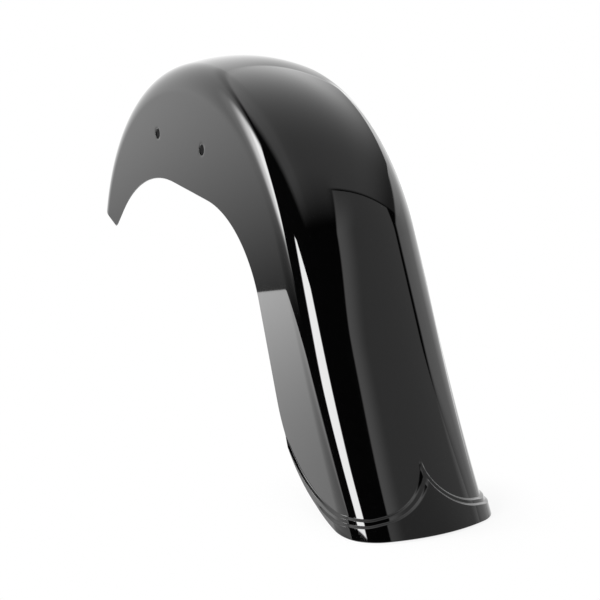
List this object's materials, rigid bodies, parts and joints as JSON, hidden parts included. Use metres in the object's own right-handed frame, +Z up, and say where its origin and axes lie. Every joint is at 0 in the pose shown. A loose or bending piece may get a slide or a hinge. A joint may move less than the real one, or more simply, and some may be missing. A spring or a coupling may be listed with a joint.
{
  "type": "motorcycle rear fender",
  "caption": "Stretched rear fender shell with an arched section, a long tail behind the wheel, strut bolt holes in the side walls and a stepped skirt that peaks at the centre.",
  "frame": {"origin": "centre of the front strut bolt hole pair, on the fender's middle plane", "axes": "+X to the rear of the machine, +Y to its right side across the fender, +Z up"},
  "size_m": [0.7839, 0.208, 0.5404],
  "materials": {
    "paint": "gloss black paint"
  },
  "bodies": {
    "root": {"fender": "paint"}
  },
  "joints": []
}
